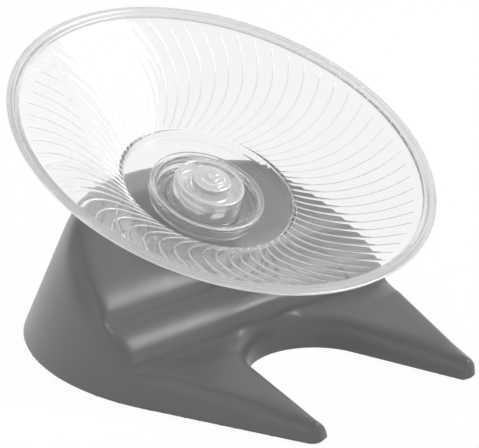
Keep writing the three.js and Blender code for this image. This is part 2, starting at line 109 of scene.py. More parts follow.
# Between these places along X the folds go from their middle shape to their side one
FOLD_CHANGE = (2, 28)

# Shares that bring a level or upright measure near the true distance to a slanting face
STEEP_EXCESS_SHARE = 0.28
STEEP_CHANGE = (-45, -25)
WALL_SHARE = 0.95
NOTCH_SHARE = 0.98
# The step and the limits that keep the form's distances sound
MOST_NARROWING_SHARE = 0.985
SLOPE_STEP = 0.4
LEAST_STEEPNESS = 0.5

BOSS_RADII = (13.6, 17.0)
BOSS_SKIRT = 12.0
BOSS_DEPTH = 24.0
BOSS_CORE = 8.5
BOSS_ROUNDING = 0.8
BOSS_FILLET = 3.0
CORE_FILLET = 1.0
WEB_HALF = 1.0
WEB_LIFT = 6.0
WEB_FILLET = 1.2
BORE_RADIUS = 4.3
BORE_DEPTH = 16.3
BORE_ROUNDING = 0.5

# The grid that finds the stand's surface, and how its points are drawn onto it
CELL = 1.1
DRAWING_ROUNDS = 5
LONGEST_MOVE = 0.4 * CELL
LEAST_SLOPE = 0.2
TINY = 1e-9

# The reach over which a groove's bend is measured, and how fast its dullness and its painted shade follow it
GROOVE_REACH = 1.2
GROOVE_GAIN = 3.0

# How steeply the stand's front falls on its middle, in degrees at places along Y
MIDDLE_TILTS = [
    (-107, 3.2), (-42, 3.4), (-36, 6), (-30, 12), (-25, 19), (-20.3, 27), (-19.5, 66), (-18.6, 66),
    (-17.4, 52), (-16, 41), (-13, 30), (-10, 25), (-4.7, 27), (-3.9, 57), (-3, 57), (-1.2, 48),
    (1.2, 41), (4, 36), (7, 33.7), (30, 33.7), (33, 30), (37.5, 14), (41, 3), (46, 0), (110, 0),
]
# The same near its sides, where the folds are softer
SIDE_TILTS = [
    (-107, 3.2), (-42, 3.4), (-36, 6), (-30, 11), (-25.5, 17), (-22.5, 25), (-20.8, 40), (-19.4, 55),
    (-18.2, 57), (-16.5, 48), (-14, 39), (-11, 32), (-8, 28), (-6.2, 28), (-4.9, 40), (-3.8, 53),
    (-2.8, 53), (-1, 46), (1.5, 40), (4.5, 36), (8, 33.7), (30, 33.7), (33, 30), (37.5, 14), (41, 3),
    (46, 0), (110, 0),
]
# Height of the stand's top at the outer wall, at places along Y
BORDER_HEIGHTS = [
    (-107, 8.6), (-94, 8.4), (-82, 8.6), (-72, 9.0), (-62, 9.6), (-52, 10.4), (-42, 11.4), (-32, 12.9),
    (-22.2, 14.6), (-19.4, 15.8), (-16.5, 18.3), (-11.5, 23.2), (-7.2, 28), (-4.2, 30), (1.8, 32.4),
    (12, 37.5), (19.5, 43.3), (27.6, 50), (33.8, 56.2), (38.8, 58.2), (44.8, 58.5), (110, 58.5),
]
# How fast a leg's top rises from its inner to its outer side, at places along Y
LEG_SLOPES = [
    (-107, 0.03), (-88, 0.04), (-66, 0.07), (-36, 0.075), (-30, 0.055), (-26, 0.035), (-22, 0.012),
    (-19.6, 0), (110, 0),
]

# Sizes of the dish
DISH_LIP_RISE = 0.4
LIP_SPARE = 0.06
dish_hole, DISH_RADIUS, _, dish_high = reach("dish")
RIM = dish_high - DISH_LIP_RISE - LIP_SPARE
FLOOR_DEPTH = 27.3
FLOOR = RIM - FLOOR_DEPTH
FLOOR_THICKNESS = 2.4
FLOOR_RADIUS = 35.4
STEP_HEIGHT = 2.9
STEP_WIDTH = 0.9
LIP_WIDTH = 5.6
LIP_BEAD = 2.5
LIP_EDGE = 2.4
LIP_DROP = 2.4
LIP_STEP = 0.4
SHELF_DROP = 0.35
WALL_TOP_DEPTH = 1.3
DISH_WALL = 2.0
RIB_COUNT = 64
RIB_PHASE = 0.95
RIB_SWEEP = 4.45
RIB_BOW = 8.0
RIB_POINTS = 60
RIB_OUTER_GAP = 2.8
RIB_INNER_GAP = 0.6
RIB_HALF = 0.3
RIB_HEIGHT = 0.3
RIB_END = 1.5
# Places across a rib, as shares of its half width, and the shares of its height there
RIB_SHARES = [(-1, 0), (-0.68, 0.55), (-0.36, 0.88), (0, 1), (0.36, 0.88), (0.68, 0.55), (1, 0)]
ROW = 1.3

WALL_FOOT = FLOOR_RADIUS + STEP_WIDTH
WALL_TOP = DISH_RADIUS - LIP_WIDTH
RIB_OUTER = WALL_TOP - RIB_OUTER_GAP
RIB_INNER = WALL_FOOT + RIB_INNER_GAP


# Outlines
# The share of a corner's shorter side that its rounding may take up
CORNER_SHARE = 0.48


def smooth_curve(table):
    """A smooth curve through a table of places and heights that never overshoots it."""
    places, heights = np.array(table, dtype=float).T
    gaps = np.diff(places)
    slopes = np.diff(heights) / gaps
    tangents = np.empty_like(heights)
    tangents[0], tangents[-1] = slopes[0], slopes[-1]
    before, after = slopes[:-1], slopes[1:]
    wide, narrow = 2 * gaps[1:] + gaps[:-1], gaps[1:] + 2 * gaps[:-1]
    with np.errstate(divide="ignore", invalid="ignore"):
        mean = (wide + narrow) / (wide / before + narrow / after)
    tangents[1:-1] = np.where(before * after > 0, mean, 0)

    def curve(at):
        k = np.clip(np.searchsorted(places, at) - 1, 0, len(gaps) - 1)
        gap = gaps[k]
        t = np.clip((at - places[k]) / gap, 0, 1)
        s = 1 - t
        ends = heights[k] * (1 + 2 * t) * s * s + heights[k + 1] * t * t * (3 - 2 * t)
        return ends + gap * t * s * (tangents[k] * s - tangents[k + 1] * t)

    return curve


def fallen(tilts, top, step=0.05):
    """A height that starts from top at the far end of a table and falls as steeply as it says."""
    places = np.arange(tilts[0][0], tilts[-1][0] + step, step)
    slopes = np.tan(np.radians(smooth_curve(tilts)(places)))
    rises = np.concatenate([[0], np.cumsum((slopes[1:] + slopes[:-1]) / 2 * step)])
    heights = top - rises[-1] + rises
    return lambda at: np.interp(at, places, heights)


def rounded(corners, steps=5, closed=True):
    """Points of an outline whose corners, each a radius, a level and a rounding, become arcs."""
    points = []
    count = len(corners)
    for i, (radius, height, rounding) in enumerate(corners):
        here = Vector((radius, height))
        if rounding == 0 or (not closed and i in (0, count - 1)):
            points.append(here)
            continue
        before = Vector(corners[i - 1][:2]) - here
        after = Vector(corners[(i + 1) % count][:2]) - here
        half = before.angle(after) / 2
        cut = min(rounding / math.tan(half), CORNER_SHARE * before.length, CORNER_SHARE * after.length)
        centre = here + (before.normalized() + after.normalized()).normalized() * cut / math.cos(half)
        start, end = here + before.normalized() * cut - centre, here + after.normalized() * cut - centre
        sweep = start.angle(end)
        for k in range(steps + 1):
            t = k / steps
            shares = math.sin((1 - t) * sweep) / math.sin(sweep), math.sin(t * sweep) / math.sin(sweep)
            points.append(centre + start * shares[0] + end * shares[1])
    return points


# Meshes
def in_scene(name, data):
    """A new object in the scene."""
    made = bpy.data.objects.new(name, data)
    bpy.context.scene.collection.objects.link(made)
    return made


def face_outwards(mesh):
    """Turns a closed mesh's faces outwards."""
    work = bmesh.new()
    work.from_mesh(mesh)
    bmesh.ops.recalc_face_normals(work, faces=work.faces)
    work.to_mesh(mesh)
    work.free()


def piece_from(name, points, faces, finish):
    """A smooth piece whose points are already in their place, in metres."""
    mesh = bpy.data.meshes.new(name)
    mesh.from_pydata(points, [], faces)
    face_outwards(mesh)
    mesh.shade_smooth()
    mesh.materials.append(finish)
    return in_scene(name, mesh)


def weighted(made):
    """Lets a piece's wide faces set its shading, so that its roundings stay narrow."""
    modifier = made.modifiers.new("wide_faces_lead", "WEIGHTED_NORMAL")
    modifier.keep_sharp = True
    modifier.weight = 100
    return made


def turned(name, corners, finish, sides=128, steps=5):
    """A piece turned about the spindle: solid where the outline ends on the axis, else a ring."""
    solid = corners[0][0] == 0
    outline = rounded(corners, steps, closed=not solid)
    points = []
    rows = []
    for radius, height in outline:
        ring = [len(points)] if radius == 0 else range(len(points), len(points) + sides)
        rows.append(list(ring) if radius else list(ring) * sides)
        for k in range(len(ring)):
            angle = 2 * math.pi * k / sides
            place = Vector((radius * math.cos(angle), radius * math.sin(angle), height)) * MM
            points.append(stood @ place)
    faces = []
    pairs = zip(rows, rows[1:] if solid else rows[1:] + rows[:1])
    for low, high in pairs:
        for k in range(sides):
            corner = [low[k], low[(k + 1) % sides], high[(k + 1) % sides], high[k]]
            faces.append(list(dict.fromkeys(corner)))
    return weighted(piece_from(name, points, faces, finish))


def refinish(made, finish, zone):
    """Gives another finish to the faces whose radius and level about the spindle are in a zone."""
    made.data.materials.append(finish)
    back = stood.inverted()
    for face in made.data.polygons:
        place = back @ face.center / MM
        if zone(math.hypot(place.x, place.y), place.z):
            face.material_index = len(made.data.materials) - 1


# Nodes
class Output:
    """What a node gives. Sums and products on it add Math nodes to its tree."""

    def __init__(self, nodes, socket):
        self.nodes = nodes
        self.socket = socket

    def math(self, operation, *numbers):
        return self.nodes.add("ShaderNodeMath", {"operation": operation}, dict(enumerate(numbers)))

    def __add__(self, other):
        return self.math("ADD", self, other)

    def __mul__(self, other):
        return self.math("MULTIPLY", self, other)

    __radd__ = __add__
    __rmul__ = __mul__


class Nodes:
    """A node tree, and how nodes are added to it: settings first, then values or links."""

    def __init__(self, tree):
        self.tree = tree

    def add(self, kind, settings=(), inputs=(), output=0):
        node = self.tree.nodes.new(kind)
        for key, value in dict(settings).items():
            setattr(node, key, value)
        for key, value in dict(inputs).items():
            if isinstance(value, Output):
                self.tree.links.new(value.socket, node.inputs[key])
            else:
                node.inputs[key].default_value = value
        return Output(self, node.outputs[output]) if node.outputs else None


def ring_tree(name, finish):
    """Geometry nodes that copy a part round the spindle, join the copies and stand the ring up."""
    tree = bpy.data.node_groups.new(name + "_ring", "GeometryNodeTree")
    inputs = {"Part": "Geometry", "Copies": "Int", "First angle": "Float", "Joining distance": "Float"}
    for label, kind in inputs.items():
        tree.interface.new_socket(label, in_out="INPUT", socket_type="NodeSocket" + kind)
    tree.interface.new_socket("Ring", in_out="OUTPUT", socket_type="NodeSocketGeometry")
    ring = Nodes(tree)

    def given(label):
        return ring.add("NodeGroupInput", output=label)

    index = ring.add("GeometryNodeInputIndex")
    step = ring.add("ShaderNodeMath", {"operation": "DIVIDE"}, {0: 2 * math.pi, 1: given("Copies")})
    turn = ring.add("ShaderNodeMath", {"operation": "MULTIPLY_ADD"}, {
        0: index, 1: step, 2: given("First angle")})
    angles = ring.add("ShaderNodeCombineXYZ", inputs={"Z": turn})
    centres = ring.add("GeometryNodePoints", inputs={"Count": given("Copies")})
    placed = ring.add("GeometryNodeInstanceOnPoints", inputs={
        "Points": centres, "Instance": given("Part"), "Rotation": angles})
    real = ring.add("GeometryNodeRealizeInstances", inputs={"Geometry": placed})
    joined = ring.add("GeometryNodeMergeByDistance", inputs={
        "Geometry": real, "Distance": given("Joining distance")})
    upright = ring.add("GeometryNodeTransform", inputs={
        "Geometry": joined, "Translation": seat, "Rotation": (tilt, 0, 0)})
    smooth = ring.add("GeometryNodeSetShadeSmooth", inputs={"Geometry": upright})
    done = ring.add("GeometryNodeSetMaterial", inputs={"Geometry": smooth, "Material": finish})
    ring.add("NodeGroupOutput", inputs={"Ring": done})
    return tree


def applied(made, modifier):
    """Makes what a modifier gives the piece's own plain mesh."""
    bpy.context.view_layer.update()
    ready = made.evaluated_get(bpy.context.evaluated_depsgraph_get())
    whole = bpy.data.meshes.new_from_object(ready)
    made.modifiers.remove(modifier)
    made.data = whole
    return whole


JOINING_DISTANCE = 0.01


def ring_of(name, points, faces, count, phase, finish):
    """Copies of one part round the spindle. The part lies in the spindle's frame."""
    mesh = bpy.data.meshes.new(name)
    mesh.from_pydata([Vector(point) * MM for point in points], [], faces)
    seed = in_scene(name, mesh)
    modifier = seed.modifiers.new("ring", "NODES")
    modifier.node_group = ring_tree(name, finish)
    sizes = {"Copies": count, "First angle": math.radians(phase), "Joining distance": JOINING_DISTANCE * MM}
    for socket in modifier.node_group.interface.items_tree:
        if socket.name in sizes:
            modifier[socket.identifier] = sizes[socket.name]
    whole = applied(seed, modifier)
    bpy.data.meshes.remove(mesh)
    face_outwards(whole)
    whole.name = name
    return weighted(seed)


# Finishes
# A volume takes away what its tone lacks of white, so this tone lets a little more green through
ABSORPTION_TONE = (0.5, 0.515, 0.51, 1)


class Finish(Nodes):
    """A material: what is the same all over goes on the shader, and what varies is linked to it."""

    def __init__(self, name, **even):
        self.material = bpy.data.materials.new(name)
        self.material.use_nodes = True
        super().__init__(self.material.node_tree)
        self.shader = self.tree.nodes["Principled BSDF"]
        for key, value in even.items():
            self.shader.inputs[key.replace("_", " ")].default_value = value
        self.place = self.add("ShaderNodeTexCoord", output="Object")

    def noise(self, size, detail):
        """Soft noise from 0 to 1, whose blotches are about size millimetres across."""
        return self.add("ShaderNodeTexNoise", {"noise_dimensions": "3D"}, {
            "Vector": self.place, "Scale": 1 / (size * MM), "Detail": detail})

    def blend(self, amount, low, high):
        """A colour between two others."""
        return self.add("ShaderNodeMix", {"data_type": "RGBA"}, {0: amount, 6: low, 7: high}, output=2)

    def bump(self, height, depth):
        """A bump whose full height is depth millimetres."""
        return self.add("ShaderNodeBump", inputs={"Height": height, "Distance": depth * MM, "Strength": 1.0})

    def absorb(self, share):
        """Takes a share of the light away for each millimetre that it goes through the piece."""
        volume = self.tree.nodes.new("ShaderNodeVolumeAbsorption")
        volume.inputs["Color"].default_value = ABSORPTION_TONE
        volume.inputs["Density"].default_value = share / MM / (1 - ABSORPTION_TONE[0])
        self.tree.links.new(volume.outputs[0], self.tree.nodes["Material Output"].inputs["Volume"])

    def vary(self, **sockets):
        """Links what varies to the shader, and gives the material."""
        for key, value in sockets.items():
            self.tree.links.new(value.socket, self.shader.inputs[key.replace("_", " ")])
        return self.material


def grey_plastic():
    """Satin moulded plastic: a faint grain, slow changes of tone and gloss, and duller grooves whose base
    colour is darkened as painted shade.
    """
    finish = Finish("grey_plastic", Specular_IOR_Level=0.5)
    cloud = finish.noise(size=26, detail=3)
    grain = finish.noise(size=0.45, detail=2)
    groove = finish.add("ShaderNodeAttribute", {"attribute_name": "groove"}, output=2)
    tone = finish.blend(cloud, low=(0.158, 0.158, 0.161, 1), high=(0.170, 0.170, 0.173, 1))
    # Painted shade: the base colour darkens where the groove attribute finds a crease, standing in for the
    # shadow that falls there
    tone = finish.blend(0.3 * groove, low=tone, high=(0.06, 0.06, 0.062, 1))
    roughness = 0.26 + 0.05 * cloud + 0.03 * grain + 0.35 * groove
    return finish.vary(Base_Color=tone, Roughness=roughness, Normal=finish.bump(grain, depth=0.008))


def clear_plastic(name, absorption, roughness, wave):
    """Clear moulded plastic, with a faint haze and waviness."""
    finish = Finish(name, Transmission_Weight=0.97, IOR=1.5)
    haze = finish.noise(size=9, detail=2)
    flow = finish.noise(size=7, detail=1)
    tone = finish.blend(haze, low=(0.935, 0.940, 0.940, 1), high=(0.965, 0.968, 0.968, 1))
    finish.absorb(absorption)
    return finish.vary(Base_Color=tone, Roughness=roughness * (0.5 + haze), Normal=finish.bump(flow, wave))


def painted_highlight_plastic(name, through, shine):
    """Clear plastic with a bright face, partly metallic and partly white: a painted highlight that makes ribs
    and edges read as bright lines.
    """
    finish = Finish(name, Transmission_Weight=through, Metallic=shine, IOR=1.5)
    haze = finish.noise(size=5, detail=3)
    frost = finish.noise(size=1.6, detail=2)
    tone = finish.blend(haze, low=(0.93, 0.935, 0.935, 1), high=(1, 1, 1, 1))
    return finish.vary(Base_Color=tone, Roughness=0.08 + 0.1 * haze, Normal=finish.bump(frost, depth=0.01))


def silvered_plastic():
    """Clear plastic that shines like silver over the bearing, with soft dents from moulding."""
    finish = Finish("silvered_hub_plastic", Transmission_Weight=0.15, Metallic=0.65, IOR=1.5)
    haze = finish.noise(size=4, detail=3)
    dents = finish.noise(size=5, detail=1)
    tone = finish.blend(haze, low=(0.90, 0.905, 0.905, 1), high=(0.99, 0.993, 0.993, 1))
    return finish.vary(Base_Color=tone, Roughness=0.06 + 0.12 * haze, Normal=finish.bump(dents, depth=0.15))


def machined(name, dark, pale, roughness, spacing):
    """Turned metal: fine rings about the spindle, and a slight change of tone."""
    finish = Finish(name, Metallic=1.0)
    centred = finish.add("ShaderNodeMapping", {"vector_type": "TEXTURE"}, {
        "Vector": finish.place, "Location": seat, "Rotation": (tilt, 0, 0)})
    rings = finish.add("ShaderNodeTexWave", {"wave_type": "RINGS", "rings_direction": "Z"}, {
        "Vector": centred, "Scale": 1 / (spacing * MM) / 2, "Distortion": 0.6, "Detail": 1.0}, output=1)
    stain = finish.noise(size=3, detail=3)
    tone = finish.blend(stain, dark, pale)
    uneven = roughness + 0.08 * rings + 0.08 * stain
    return finish.vary(Base_Color=tone, Roughness=uneven, Normal=finish.bump(rings, depth=0.004))


def polished_steel():
    """Ball bearing steel: near a mirror, with faint smears."""
    finish = Finish("polished_steel", Metallic=1.0)
    smear = finish.noise(size=1.5, detail=2)
    tone = finish.blend(smear, low=(0.60, 0.61, 0.63, 1), high=(0.68, 0.69, 0.71, 1))
    return finish.vary(Base_Color=tone, Roughness=0.06 + 0.08 * smear)


grey = grey_plastic()
clear = clear_plastic("clear_plastic", absorption=0.003, roughness=0.02, wave=0.004)
clear_hub = clear_plastic("clear_hub_plastic", absorption=0.003, roughness=0.04, wave=0.008)
# Painted highlight: brighter copies of the clear plastic for the ribs, the dish's lip and the hub's lip edges
highlight_finish = painted_highlight_plastic("rib_and_edge_highlight_plastic", through=0.75, shine=0.5)
lip_highlight_finish = painted_highlight_plastic("lip_highlight_plastic", through=0.78, shine=0.42)
silvered = silvered_plastic()
polished = polished_steel()
steel = machined(
    "ground_steel", dark=(0.50, 0.51, 0.53, 1), pale=(0.62, 0.63, 0.65, 1), roughness=0.22, spacing=0.25)
brass = machined(
    "stamped_brass", dark=(0.55, 0.38, 0.15, 1), pale=(0.66, 0.48, 0.20, 1), roughness=0.26, spacing=0.4)


# Stand
middle_height = fallen(MIDDLE_TILTS, STAND_HEIGHT)
side_height = fallen(SIDE_TILTS, STAND_HEIGHT)
border_height = smooth_curve(BORDER_HEIGHTS)
leg_slope = smooth_curve(LEG_SLOPES)
edge_rounding = smooth_curve(EDGE_ROUNDINGS)
notch_rounding = smooth_curve(NOTCH_ROUNDINGS)


def eased(place, start, end):
    """0 before start and 1 past end, and a smooth change between."""
    share = np.clip((place - start) / (end - start), 0, 1)
    return share * share * (3 - 2 * share)


def blend_out(a, b, rounding):
    """The greater of two distances, with a rounded edge where they meet."""
    t = np.clip(0.5 + 0.5 * (a - b) / rounding, 0, 1)
    return b + (a - b) * t + rounding * t * (1 - t)


def soft_edge(a, b, radius):
    """The greater of two distances, with an edge of about a radius that starts and ends softly."""
    reach = EDGE_REACH * radius
    overlap = np.maximum(1 - np.abs(a - b) / reach, 0)
    return np.maximum(a, b) + reach * overlap ** 3 / 6


def round_edge(a, b, radius):
    """The greater of two distances, with an edge that is a true arc."""
    arc = np.hypot(np.maximum(a + radius, 0), np.maximum(b + radius, 0))
    return np.minimum(np.maximum(a, b), -radius) + arc


def blend_in(a, b, rounding):
    """The lesser of two distances, with a fillet where they meet."""
    return -blend_out(-a, -b, rounding)


def capsule(along, across, length, thick, thin):
    """Distance to a shape of two unlike circles and their common tangents."""
    narrowing = np.minimum((thick - thin) / length, MOST_NARROWING_SHARE)
    spread = np.sqrt(1 - narrowing * narrowing)
    place = spread * along - narrowing * across
    body = across * spread + along * narrowing - thick
    near = np.hypot(across, along) - thick
    far = np.hypot(across, along - length) - thin
    return np.where(place < 0, near, np.where(place > spread * length, far, body))


def outer_wall(side, y, level):
    """Distance outside the stand's outer wall, which runs round its oval and out along the legs."""
    centre = OVAL_Y - LEAN * level
    half = STAND_HALF_WIDTH - DRAFT * level
    stretch = half / (OVAL_REACH - DRAFT * level)
    tip_radius = LEG_TIP_RADIUS - TIP_DRAFT * level
    tip_y = (LEG_Y - centre) * stretch
    length = np.hypot(LEG_X, tip_y)
    flat_y = (y - centre) * stretch
    along = (side * LEG_X + flat_y * tip_y) / length
    across = np.abs(flat_y * LEG_X - side * tip_y) / length
    return capsule(along, across, length, half, tip_radius)


def notch_wall(side, y, level):
    """Distance into the notch, past its round end or past the straight side along a leg."""
    leg_x, leg_y = LEG_X, LEG_Y - NOTCH_Y
    turn = math.atan2(leg_y, leg_x) + math.acos((NOTCH_RADIUS + LEG_TIP_RADIUS) / math.hypot(leg_x, leg_y))
    normal_x, normal_y = math.cos(turn), math.sin(turn)
    from_notch = y - NOTCH_Y
    grown = NOTCH_RADIUS + DRAFT * level
    beside_leg = grown - (side * normal_x + from_notch * normal_y)
    round_end = grown - np.hypot(side, from_notch)
    return np.where(side * normal_y - from_notch * normal_x > 0, beside_leg, round_end)


def top_height(side, y, inner):
    """Height of the stand's top, from its border (inner 0) to its folds and its notch's rim (inner 1)."""
    border = border_height(y)
    rim = NOTCH_RIM * (1 - eased(y, *NOTCH_RIM_ENDS)) * np.exp(-(side / NOTCH_RIM_REACH) ** 2)
    soft = eased(side, *FOLD_CHANGE)
    middle = middle_height(y) * (1 - soft) + side_height(y) * soft + leg_slope(y) * side + rim
    return border + (middle - border) * inner


def stand_outside(x, y, z):
    """Roughly the distance outside the stand's moulded form, without its hollow."""
    side = np.abs(x)
    level = np.clip(z, 0, STAND_HEIGHT)
    wall = outer_wall(side, y, level)
    notch = notch_wall(side, y, level)
    at_tip = 1 - eased(y, *TIP_CHANGE)
    top = top_height(side, y, (1 - at_tip) * eased(-wall, 0, SHOULDER))
    above = (z - top) * (1 - STEEP_EXCESS_SHARE * eased(y, *STEEP_CHANGE))
    beside = np.clip(0.5 + (notch - wall) / ROUNDING_CHANGE, 0, 1)
    rounding = edge_rounding(y) * (1 - beside) + notch_rounding(y) * beside
    under = FOOT_ROUNDING - np.clip(z, 0, FOOT_ROUNDING)
    tuck = FOOT_ROUNDING - np.sqrt(np.maximum(FOOT_ROUNDING ** 2 - under ** 2, 0))
    walls = np.maximum(wall * WALL_SHARE, notch * NOTCH_SHARE) + tuck
    return soft_edge(above, walls, rounding) * (1 - at_tip) + round_edge(above, walls, TIP_ROUNDING) * at_tip


def evened_outside(x, y, z):
    """The distance outside the moulded form, evened out by its own slope."""
    slopes = [
        (stand_outside(x + dx, y + dy, z + dz) - stand_outside(x - dx, y - dy, z - dz)) / (2 * SLOPE_STEP)
        for dx, dy, dz in np.eye(3) * SLOPE_STEP
    ]
    steepness = np.sqrt(sum(slope * slope for slope in slopes))
    return stand_outside(x, y, z) / np.maximum(steepness, LEAST_STEEPNESS)


def stand_form(points):
    """Roughly the distance outside the whole moulded stand: shell, boss and webs, open below."""
    x, y, z = points.T
    outside = evened_outside(x, y, z)
    shell = blend_out(outside, -(outside + SHELL_WALL), SHELL_ROUNDING)

    back = np.array(stood.inverted())
    local = points @ back[:3, :3].T + back[:3, 3] / MM
    radius = np.hypot(local[:, 0], local[:, 1])
    depth = -local[:, 2]
    cone = BOSS_RADII[0] + (BOSS_RADII[1] - BOSS_RADII[0]) * depth / BOSS_SKIRT
    turret = blend_out(np.maximum(radius - cone, depth - BOSS_SKIRT), -depth, BOSS_ROUNDING)
    core = np.maximum(np.maximum(radius - BOSS_CORE, depth - BOSS_DEPTH), -depth)
    form = blend_in(blend_in(shell, turret, BOSS_FILLET), core, CORE_FILLET)

    seat_y = seat.y / MM
    crossing = np.minimum(np.abs(x + y - seat_y), np.abs(x - y + seat_y)) / math.sqrt(2)
    web = np.maximum(np.maximum(crossing - WEB_HALF, WEB_LIFT - z), outside + SHELL_WALL / 2)
    form = blend_in(form, web, WEB_FILLET)
    bore = np.maximum(radius - BORE_RADIUS, depth - BORE_DEPTH)
    return blend_out(form, -bore, BORE_ROUNDING)


def slope_of(field, points, step=0.05):
    """A field's value and its slope at points."""
    value = field(points)
    slope = np.stack([
        (field(points + shift) - field(points - shift)) / (2 * step) for shift in np.eye(3) * step
    ], axis=1)
    return value, slope


CELL_CORNERS = list(np.ndindex(2, 2, 2))


def form_on_grid():
    """The form at the corners of a grid of cells round the stand, and the place of the first corner."""
    low = np.array([stand_low[0] - 2 * CELL, stand_low[1] - 2 * CELL, -CELL / 2])
    counts = np.ceil((stand_high + 2 * CELL - low) / CELL).astype(int) + 1
    axes = [low[k] + CELL * np.arange(counts[k]) for k in range(3)]
    grid = np.stack(np.meshgrid(*axes, indexing="ij"), axis=-1)
    value = stand_form(grid.reshape(-1, 3)).reshape(counts)
    value[:, :, 0] = np.maximum(value[:, :, 0], CELL / 2)
    return value, low


def at_corner(value, corner):
    """The values at one corner of each cell."""
    return value[tuple(slice(k, k + count - 1) for k, count in zip(corner, value.shape))]


def cell_points(value, crossed):
    """Where the surface cuts each crossed cell's edges, on average, in cells from the grid's first corner."""
    total = np.zeros((crossed.sum(), 3))
    hits = np.zeros(crossed.sum())
    for a in CELL_CORNERS:
        for axis in range(3):
            if a[axis]:
                continue
            b = tuple(1 if k == axis else a[k] for k in range(3))
            first, second = at_corner(value, a)[crossed], at_corner(value, b)[crossed]
            hit = (first < 0) != (second < 0)
            share = np.where(hit, first / np.where(hit, first - second, 1), 0)
            total += hit[:, None] * (np.array(a) + share[:, None] * np.eye(3)[axis])
            hits += hit
    return np.argwhere(crossed) + total / hits[:, None]


def draw_onto_form(points, on_base, loose):
    """Moves the loose points along the form's slope onto it, and those on the base along the floor."""
    for _ in range(DRAWING_ROUNDS):
        value, slope = slope_of(stand_form, points[loose])
        slope[on_base[loose], 2] = 0
        steepness = np.maximum((slope * slope).sum(axis=1), LEAST_SLOPE)
        shift = slope * (value / steepness)[:, None]
        length = np.maximum(np.linalg.norm(shift, axis=1), TINY)
        points[loose] -= shift * np.minimum(1, LONGEST_MOVE / length)[:, None]


def quads_round_edges(value, number):
    """A quad between the points of the four cells round each grid edge that the surface cuts."""
    faces = []
    for axis in range(3):
        one, two = [k for k in range(3) if k != axis]
        start, end = [slice(None)] * 3, [slice(None)] * 3
        start[axis], end[axis] = slice(0, -1), slice(1, None)
        edge = (value[tuple(start)] < 0) != (value[tuple(end)] < 0)
        places = np.argwhere(edge)
        keep = (places[:, one] > 0) & (places[:, two] > 0)
        keep &= (places[:, one] < number.shape[one]) & (places[:, two] < number.shape[two])
        places = places[keep]
        around = []
        for shift_one, shift_two in ((1, 1), (0, 1), (0, 0), (1, 0)):
            near = places.copy()
            near[:, one] -= shift_one
            near[:, two] -= shift_two
            around.append(number[tuple(near.T)])
        faces.append(np.stack(around, axis=1))
    return np.concatenate(faces)


def stand_surface():
    """Quads over the moulded form: one point in each grid cell that its surface crosses, drawn onto it."""
    value, low = form_on_grid()
    inside = sum((at_corner(value, corner) < 0).astype(int) for corner in CELL_CORNERS)
    crossed = (inside > 0) & (inside < len(CELL_CORNERS))
    points = low + CELL * cell_points(value, crossed)

    # Base points whose cell is solid above stay in the flat lower rim, and all others are loose
    on_base = np.argwhere(crossed)[:, 2] == 0
    points[on_base, 2] = 0
    upper = [corner for corner in CELL_CORNERS if corner[2]]
    solid = sum((at_corner(value, corner)[crossed] < 0).astype(int) for corner in upper)
    draw_onto_form(points, on_base, ~on_base | (solid < len(upper)))

    number = np.full(crossed.shape, -1)
    number[crossed] = np.arange(crossed.sum())
    return points, quads_round_edges(value, number)


def shade_by_form(made, points):
    """Gives the moulding the form's own normals, a flat lower rim, and its grooves as an attribute."""
    slope = slope_of(stand_form, points)[1]
    normals = slope / np.maximum(np.linalg.norm(slope, axis=1), TINY)[:, None]
    mesh = made.data
    corners = np.empty(len(mesh.loops), dtype=int)
    mesh.loops.foreach_get("vertex_index", corners)
    split = normals[corners]
    for face in mesh.polygons:
        if all(points[vertex, 2] == 0 for vertex in face.vertices):
            split[face.loop_start:face.loop_start + face.loop_total] = (0, 0, -1)
    mesh.normals_split_custom_set(split.tolist())

    # The grooves' bend, which the grey plastic turns into dullness and painted shade
    around = [
        stand_outside(*(points + shift * side).T)
        for shift in np.eye(3) * GROOVE_REACH for side in (-1, 1)
    ]
    bend = (sum(around) - 6 * stand_outside(*points.T)) / GROOVE_REACH ** 2
    groove = mesh.attributes.new("groove", "FLOAT", "POINT")
    groove.data.foreach_set("value", np.clip(-bend * GROOVE_GAIN, 0, 1))


stand_points, stand_faces = stand_surface()
stand = piece_from("stand_moulding", stand_points * MM, stand_faces.tolist(), grey)
shade_by_form(stand, stand_points)
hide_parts("stand_shell")
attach(stand, "stand")


# Dish
def wall_level(radius):
    rise = RIM - WALL_TOP_DEPTH - FLOOR - STEP_HEIGHT
    return FLOOR + STEP_HEIGHT + rise * (radius - WALL_FOOT) / (WALL_TOP - WALL_FOOT)


def rib_centreline():
    """Radius and angle of points along a rib, from its inner end to its outer one."""
    sweep = math.radians(RIB_SWEEP)
    start = np.array([RIB_OUTER, 0])
    end = RIB_INNER * np.array([math.cos(sweep), math.sin(sweep)])
    along = (end - start) / np.linalg.norm(end - start)
    t = np.linspace(1, 0, RIB_POINTS)[:, None]
    points = start + (end - start) * t + np.array([-along[1], along[0]]) * 4 * t * (1 - t) * RIB_BOW
    return np.hypot(*points.T), np.arctan2(points[:, 1], points[:, 0])


